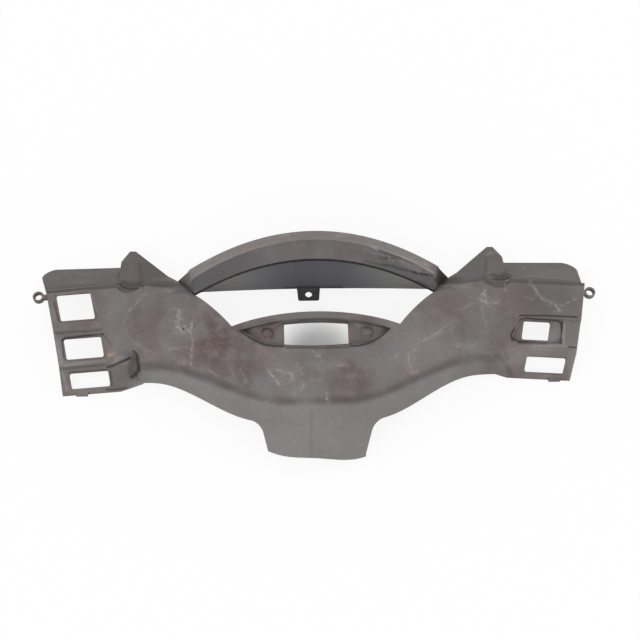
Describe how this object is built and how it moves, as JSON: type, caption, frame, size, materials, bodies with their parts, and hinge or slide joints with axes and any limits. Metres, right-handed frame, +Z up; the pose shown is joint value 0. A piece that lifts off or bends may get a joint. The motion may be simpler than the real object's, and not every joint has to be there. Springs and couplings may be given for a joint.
{
  "type": "scooter handlebar cover",
  "caption": "Thin-walled plastic handlebar cover for a scooter, with an arched hood over the instrument opening, switch windows in both end housings and a tapered neck.",
  "frame": {"origin": "middle of the foot of the bounding box, on the plane of the open rim", "axes": "+X along the handlebar to the rider's right, +Y ahead of the rider, +Z up out of the closed side"},
  "size_m": [0.4362, 0.1752, 0.07],
  "materials": {
    "cover_plastic": "faded and scuffed satin"
  },
  "bodies": {
    "root": {"handlebar_cover": "cover_plastic"}
  },
  "joints": []
}
